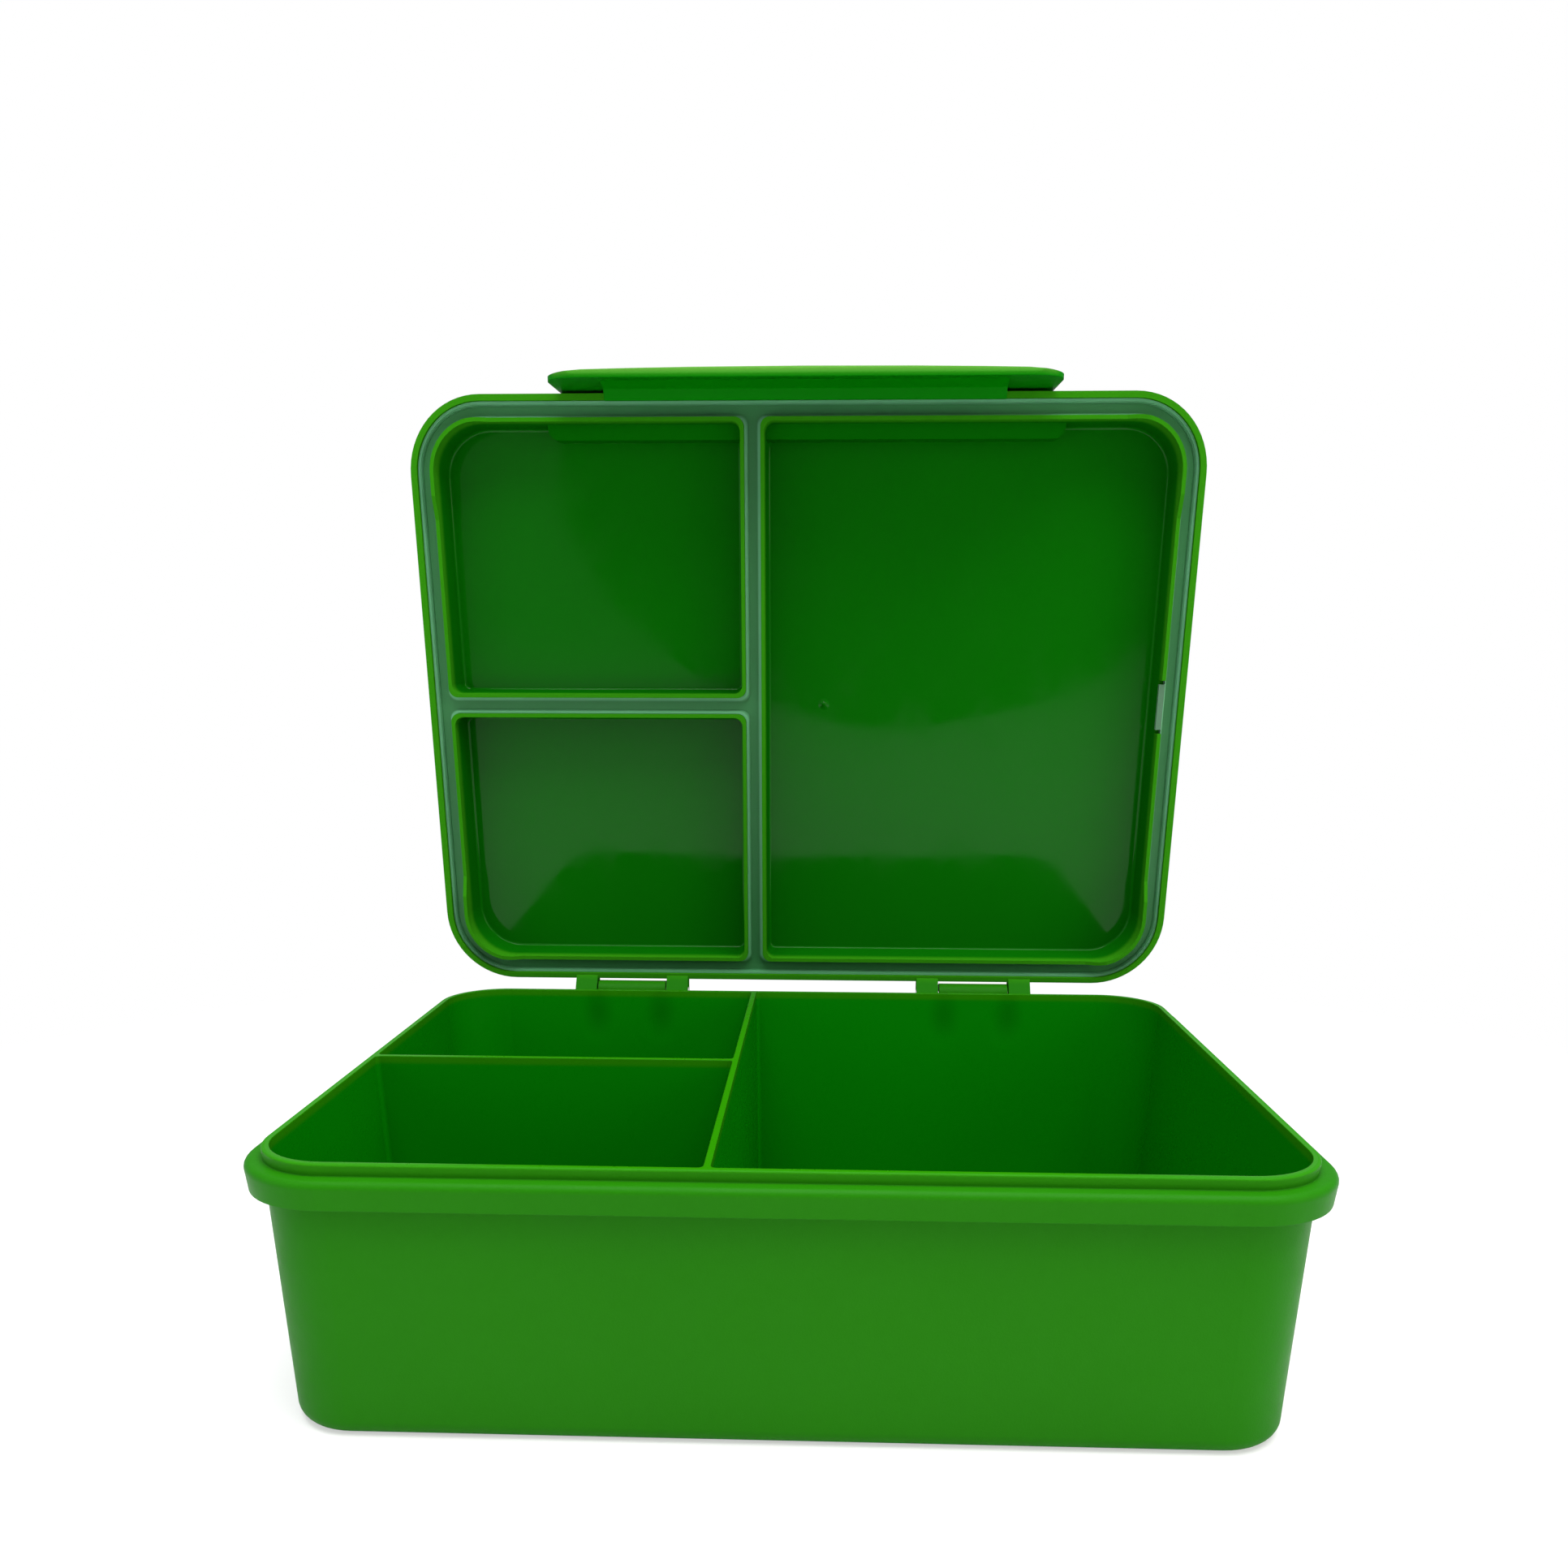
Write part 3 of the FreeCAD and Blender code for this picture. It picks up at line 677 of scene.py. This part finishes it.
@dataclass(frozen=True)
class SteelFinish:
    """Drawn stainless steel with fine lines along the pin."""

    name: str = Slot.PIN.value
    colour: Colour = (0.55, 0.56, 0.57)
    worn: Colour = (0.42, 0.42, 0.43)
    roughness: float = 0.3
    line_stretch: Place = (0.04, 1.0, 1.0)
    line_scale: float = 2200.0

    def make(self) -> bpy.types.Material:
        """Build the material.

        Returns:
            The material.
        """
        material = bpy.data.materials.new(self.name)
        material.use_nodes = True
        graph = NodeGraph(material.node_tree)
        shader = material.node_tree.nodes["Principled BSDF"]
        place = graph.add("ShaderNodeTexCoord").outputs["Object"]
        mapping = graph.add("ShaderNodeMapping")
        mapping.inputs["Scale"].default_value = self.line_stretch
        graph.feed(place, mapping.inputs["Vector"])
        lines = graph.noise(mapping.outputs["Vector"], self.line_scale, 3.0, 0.6)
        shade = graph.blend(lines, (*self.colour, 1.0), (*self.worn, 1.0))
        graph.feed(shade, shader.inputs["Base Color"])
        rough = graph.spread(lines, self.roughness - 0.08, self.roughness + 0.12)
        graph.feed(rough, shader.inputs["Roughness"])
        shader.inputs["Metallic"].default_value = 1.0
        return material


@dataclass
class Finishes:
    """Every finish of the box, built once."""

    skin: bpy.types.NodeTree = field(default_factory=moulded_skin_group)
    inside: bpy.types.NodeTree = field(default_factory=shell_inside_group)
    depth: bpy.types.NodeTree = field(default_factory=lid_depth_group)
    # where the painted shade on the open lid's inner panel goes
    lid_zone: LidZone = LidZone(start=0.0007, end=0.0042)
    panel_zone: LidZone = LidZone(start=0.0107, end=0.0112)
    lug_zone: EdgeZone = EdgeZone(start=0.0650, end=0.0625)
    # where the painted highlight on the tub lip's top edge goes
    lip_zone: EdgeZone = EdgeZone(start=0.0588, end=0.0600, before=0.0805)
    # where the painted highlight on the latch grip's top edge goes
    grip_zone: EdgeZone = EdgeZone(start=0.2290, end=0.2319, before=0.0618)
    sink_zone: SinkZone = SinkZone(
        hinge_x=0.0535, spread=0.0098, level=0.0530, behind=0.0700, radius=0.0060
    )
    tub_zone: ShellZone = ShellZone(
        half_x=0.1065,
        half_y=0.0789,
        corner=0.0162,
        top=0.0612,
        draft=math.tan(math.radians(2.0)),
        floor=0.0009,
    )

    def __post_init__(self) -> None:
        """Build the materials."""
        self.tub = PlasticFinish(
            name=Slot.TUB.value,
            colour=(0.011, 0.138, 0.0006),
            roughness=0.50,
            grain=1.0,
            inner_colour=(0.001, 0.160, 0.0005),
            inner_roughness=0.30,
            specular=0.055,
            inner_specular=0.055,
            # painted highlight: the tub lip's top edge is lighter
            edge_colour=(0.016, 0.170, 0.0004),
            edge_zone=self.lip_zone,
            zone=self.tub_zone,
            sinks=self.sink_zone,
        ).make(self.skin, self.inside)
        self.lid = PlasticFinish(
            name=Slot.LID.value,
            colour=(0.024, 0.192, 0.004),
            roughness=0.26,
            grain=0.2,
            # painted shade: the open lid's inner panel is darker than its rim
            inner_colour=(0.002, 0.110, 0.001),
            inner_roughness=0.07,
            edge_radius=0.0,
            specular=0.0,
            inner_specular=0.10,
            edge_colour=(0.014, 0.143, 0.006),
            edge_zone=self.lug_zone,
            zone=self.lid_zone,
            gloss_zone=self.panel_zone,
            warp=0.0004,
        ).make(self.skin, self.depth)
        self.latch = PlasticFinish(
            name=Slot.LATCH.value,
            colour=(0.001, 0.155, 0.0006),
            roughness=0.34,
            grain=0.4,
            edge_radius=0.0006,
            specular=0.02,
            # painted highlight: the latch grip's top edge is lighter
            edge_colour=(0.075, 0.232, 0.025),
            edge_zone=self.grip_zone,
        ).make(self.skin, None)
        self.seal = SiliconeFinish().make(self.depth)
        self.steel = SteelFinish().make()


def dress_node(name: str, material: bpy.types.Material, body: Body) -> None:
    """Give a CAD node its finish and report it.

    Args:
        name: The node's name.
        material: Its finish.
        body: The body that it belongs to.
    """
    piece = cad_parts[name]
    piece.data.materials.clear()
    piece.data.materials.append(material)
    LOG.info("dressed %s of the %s with %s", name, body.value, material.name)


def add_piece(
    name: str, shape: bmesh.types.BMesh, material: bpy.types.Material, body: Body
) -> None:
    """Turn a shape into a piece that rides on a body.

    Args:
        name: The piece's name.
        shape: Its shape, which is freed.
        material: Its finish.
        body: The body that it moves with.
    """
    mesh = bpy.data.meshes.new(name)
    shape.to_mesh(mesh)
    shape.free()
    for polygon in mesh.polygons:
        polygon.use_smooth = True
    mesh.materials.append(material)
    piece = bpy.data.objects.new(name, mesh)
    bpy.context.scene.collection.objects.link(piece)
    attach(piece, body.value)
    LOG.info("added %s on %s", name, body.value)


def lathe(profile: list[tuple[float, float]], steps: int = 40) -> bmesh.types.BMesh:
    """Spin a profile of radius and height pairs about Z.

    Args:
        profile: Points from the axis outwards, in metres.
        steps: How many steps the full turn has.

    Returns:
        The spun shape.
    """
    shape = bmesh.new()
    points = [shape.verts.new((radius, 0.0, height)) for radius, height in profile]
    edges = [shape.edges.new(pair) for pair in zip(points, points[1:])]
    bmesh.ops.spin(
        shape,
        geom=points + edges,
        cent=(0.0, 0.0, 0.0),
        axis=(0.0, 0.0, 1.0),
        angle=2.0 * math.pi,
        steps=steps,
        use_merge=True,
    )
    bmesh.ops.remove_doubles(shape, verts=shape.verts, dist=1e-6)
    bmesh.ops.recalc_face_normals(shape, faces=shape.faces)
    return shape


@dataclass
class TubAssembly:
    """The tub with its moulding marks."""

    finishes: Finishes
    scar_z: float = 0.0005

    def build(self) -> None:
        """Add the gate scar in the middle of the underside's recess."""
        stub = [(0.0, -0.00025), (0.0006, -0.00025), (0.0009, 0.0)]
        dimple = [(0.0028, 0.00005), (0.0034, 0.0002)]
        scar = lathe(stub + dimple)
        bmesh.ops.transform(scar, matrix=Matrix.Translation((0.0, 0.0, self.scar_z)), verts=scar.verts)
        add_piece("tub_gate_scar", scar, self.finishes.tub, Body.TUB)

    def dress(self) -> None:
        """Finish the tub's CAD node."""
        dress_node("tub", self.finishes.tub, Body.TUB)


@dataclass
class LidAssembly:
    """The lid with its seal, pins and gate mark."""

    finishes: Finishes
    hinge: Vector = field(default_factory=lambda: Vector((0.0, HINGE_Y, HINGE_Z)))
    panel_z: float = 0.0705
    gate_x: float = 0.0059

    def opened(self) -> Matrix:
        """Work out the turn that carries a closed place to where it stands open.

        Returns:
            The turn about the hinge.
        """
        turn = Matrix.Rotation(-LID_OPENING, 4, "X")
        return Matrix.Translation(self.hinge) @ turn @ Matrix.Translation(-self.hinge)

    def build(self) -> None:
        """Add the gate mark on the inner panel."""
        stub = [(0.0, -0.0005), (0.0004, -0.00045), (0.0006, -0.0001)]
        dimple = [(0.0015, -0.00008), (0.0019, 0.0001)]
        mark = lathe(stub + dimple)
        place = self.opened() @ Matrix.Translation((self.gate_x, 0.0, self.panel_z))
        bmesh.ops.transform(mark, matrix=place, verts=mark.verts)
        bmesh.ops.recalc_face_normals(mark, faces=mark.faces)
        add_piece("lid_gate_mark", mark, self.finishes.lid, Body.LID)

    def dress(self) -> None:
        """Finish the lid's CAD nodes."""
        dress_node("lid", self.finishes.lid, Body.LID)
        dress_node("lid_seal", self.finishes.seal, Body.LID)
        for pin in ("hinge_pin_left", "hinge_pin_right", "latch_pin_left", "latch_pin_right"):
            dress_node(pin, self.finishes.steel, Body.LID)


@dataclass
class LatchAssembly:
    """The latch, a single moulded piece."""

    finishes: Finishes

    def dress(self) -> None:
        """Finish the latch's CAD node."""
        dress_node("latch", self.finishes.latch, Body.LATCH)


def grey(tone: float) -> tuple[float, float, float, float]:
    """Make an opaque grey.

    Args:
        tone: How light it is, from 0 to 1.

    Returns:
        The colour with its alpha.
    """
    return (tone, tone, tone, 1.0)


def loose_sheet(name: str, shape: bmesh.types.BMesh, material: bpy.types.Material) -> bpy.types.Object:
    """Turn a shape into a studio object that isn't part of the box.

    Args:
        name: The object's name.
        shape: Its shape, which is freed.
        material: Its finish.

    Returns:
        The object, linked into the scene.
    """
    mesh = bpy.data.meshes.new(name)
    shape.to_mesh(mesh)
    shape.free()
    mesh.materials.append(material)
    sheet = bpy.data.objects.new(name, mesh)
    bpy.context.scene.collection.objects.link(sheet)
    return sheet


@dataclass(frozen=True)
class SoftBox:
    """A square soft box, in metres and watts."""

    name: str
    place: Place
    aim: Place
    side: float
    watts: float
    tint: Colour = (1.0, 1.0, 1.0)

    def hang(self) -> None:
        """Hang the lamp in its place, facing its aim."""
        light = bpy.data.lights.new(self.name, "AREA")
        light.shape = "SQUARE"
        light.size = self.side
        light.energy = self.watts
        light.color = self.tint
        lamp = bpy.data.objects.new(self.name, light)
        lamp.location = self.place
        facing = Vector(self.aim) - Vector(self.place)
        lamp.rotation_euler = facing.to_track_quat("-Z", "Y").to_euler()
        bpy.context.scene.collection.objects.link(lamp)
        LOG.info("hung %s", self.name)


@dataclass
class Studio:
    """The white sweep, the lamps and the camera that took the photograph."""

    camera_place: Vector = field(default_factory=lambda: Vector((8.803, -314.663, 148.883)) * MILLI)
    yaw: float = math.radians(-2.05)
    pitch: float = math.radians(15.56)
    roll: float = math.radians(0.16)
    focal_px: float = 1606.5
    centre_row_px: float = 1306.2
    sensor: float = 36.0
    ambient: float = 0.45
    lamps: tuple[SoftBox, ...] = (
        SoftBox("top_box", (0.1, -0.2, 1.3), (0.0, 0.0, 0.05), 1.2, 34.0),
        SoftBox("left_box", (-1.2, -0.5, 0.6), (0.0, 0.0, 0.06), 0.8, 3.0, (0.85, 1.0, 1.0)),
        SoftBox("right_box", (1.2, -0.6, 0.6), (0.0, 0.0, 0.06), 0.8, 6.0, (1.0, 0.95, 0.7)),
    )
    flag_place: Place = (0.055, -0.45, 0.23)
    flag_half_width: float = 0.23
    flag_half_height: float = 0.16
    flag_tone: float = 0.02
    floor_half: float = 4.0
    floor_tone: float = 0.9
    floor_near_glow: float = 0.5
    floor_near: float = 0.14
    floor_far: float = 0.42
    sheet_roughness: float = 0.9

    def build(self) -> None:
        """Make the world, the floor, the lamps, the flag and the camera."""
        self.make_world()
        self.make_floor()
        for lamp in self.lamps:
            lamp.hang()
        self.make_flag()
        self.make_camera()

    def make_flag(self) -> None:
        """Stand a dark card behind the camera that only the glossy surfaces see."""
        shape = bmesh.new()
        bmesh.ops.create_circle(shape, cap_ends=True, segments=48, radius=1.0)
        stretch = Matrix.Diagonal((self.flag_half_width, self.flag_half_height, 1.0, 1.0))
        upright = Matrix.Rotation(math.radians(90.0), 4, "X")
        stand = Matrix.Translation(self.flag_place) @ upright @ stretch
        bmesh.ops.transform(shape, matrix=stand, verts=shape.verts)
        material = bpy.data.materials.new("flag_black")
        material.use_nodes = True
        shader = material.node_tree.nodes["Principled BSDF"]
        shader.inputs["Base Color"].default_value = grey(self.flag_tone)
        shader.inputs["Roughness"].default_value = self.sheet_roughness
        flag = loose_sheet("camera_flag", shape, material)
        flag.visible_camera = False
        flag.visible_diffuse = False
        flag.visible_shadow = False

    def make_world(self) -> None:
        """Surround the studio with a soft light that the camera sees as plain white."""
        world = bpy.data.worlds.new("white_sweep")
        bpy.context.scene.world = world
        world.use_nodes = True
        graph = NodeGraph(world.node_tree)
        backdrop = world.node_tree.nodes["Background"]
        path = graph.add("ShaderNodeLightPath")
        seen = graph.math("MAXIMUM", path.outputs["Is Camera Ray"], path.outputs["Is Transmission Ray"])
        backdrop.inputs["Color"].default_value = (1.0, 1.0, 1.0, 1.0)
        graph.feed(graph.spread(seen, self.ambient, 1.0), backdrop.inputs["Strength"])

    def make_floor(self) -> None:
        """Lay a pale sheet that keeps the box's contact shadow and otherwise reads as white."""
        shape = bmesh.new()
        bmesh.ops.create_grid(shape, x_segments=1, y_segments=1, size=self.floor_half)
        material = bpy.data.materials.new("floor_white")
        material.use_nodes = True
        graph = NodeGraph(material.node_tree)
        shader = material.node_tree.nodes["Principled BSDF"]
        shader.inputs["Base Color"].default_value = grey(self.floor_tone)
        shader.inputs["Roughness"].default_value = self.sheet_roughness
        glow = graph.add("ShaderNodeEmission")
        mixer = graph.add("ShaderNodeMixShader")
        path = graph.add("ShaderNodeLightPath")
        place = graph.add("ShaderNodeTexCoord").outputs["Object"]
        reach = graph.add("ShaderNodeVectorMath", operation="LENGTH")
        graph.feed(place, reach.inputs[0])
        distance = reach.outputs["Value"]
        share = graph.spread(distance, self.floor_near_glow, 1.0, self.floor_near, self.floor_far)
        graph.feed(graph.math("MULTIPLY", path.outputs["Is Camera Ray"], share), mixer.inputs["Fac"])
        graph.feed(shader.outputs[0], mixer.inputs[1])
        graph.feed(glow.outputs[0], mixer.inputs[2])
        graph.feed(mixer.outputs[0], material.node_tree.nodes["Material Output"].inputs["Surface"])
        floor = loose_sheet("floor_sheet", shape, material)

    def make_camera(self) -> None:
        """Stand the camera where the photograph was taken from."""
        data = bpy.data.cameras.new("photo_camera")
        data.sensor_width = self.sensor
        data.sensor_fit = "HORIZONTAL"
        data.lens = self.sensor * self.focal_px / PHOTO_SIDE
        data.shift_y = (self.centre_row_px - PHOTO_SIDE / 2) / PHOTO_SIDE
        data.clip_start = 0.01
        camera = bpy.data.objects.new("photo_camera", data)
        flat = math.cos(self.pitch)
        forward = Vector((math.sin(self.yaw) * flat, math.cos(self.yaw) * flat, -math.sin(self.pitch)))
        level = Vector((math.cos(self.yaw), -math.sin(self.yaw), 0.0))
        upright = level.cross(forward)
        right = math.cos(self.roll) * level + math.sin(self.roll) * upright
        above = math.cos(self.roll) * upright - math.sin(self.roll) * level
        turn = Matrix((right, above, -forward)).transposed()
        camera.matrix_world = Matrix.Translation(self.camera_place) @ turn.to_4x4()
        bpy.context.scene.collection.objects.link(camera)
        bpy.context.scene.camera = camera


def main() -> None:
    """Dress the box piece by piece and set up the studio."""
    logging.basicConfig(level=logging.INFO)
    bpy.context.scene.view_settings.view_transform = "Standard"
    finishes = Finishes()
    tub = TubAssembly(finishes)
    lid = LidAssembly(finishes)
    latch = LatchAssembly(finishes)
    for assembly in (tub, lid):
        assembly.build()
    for assembly in (tub, lid, latch):
        assembly.dress()
    Studio().build()


if __name__ == "__main__":
    main()
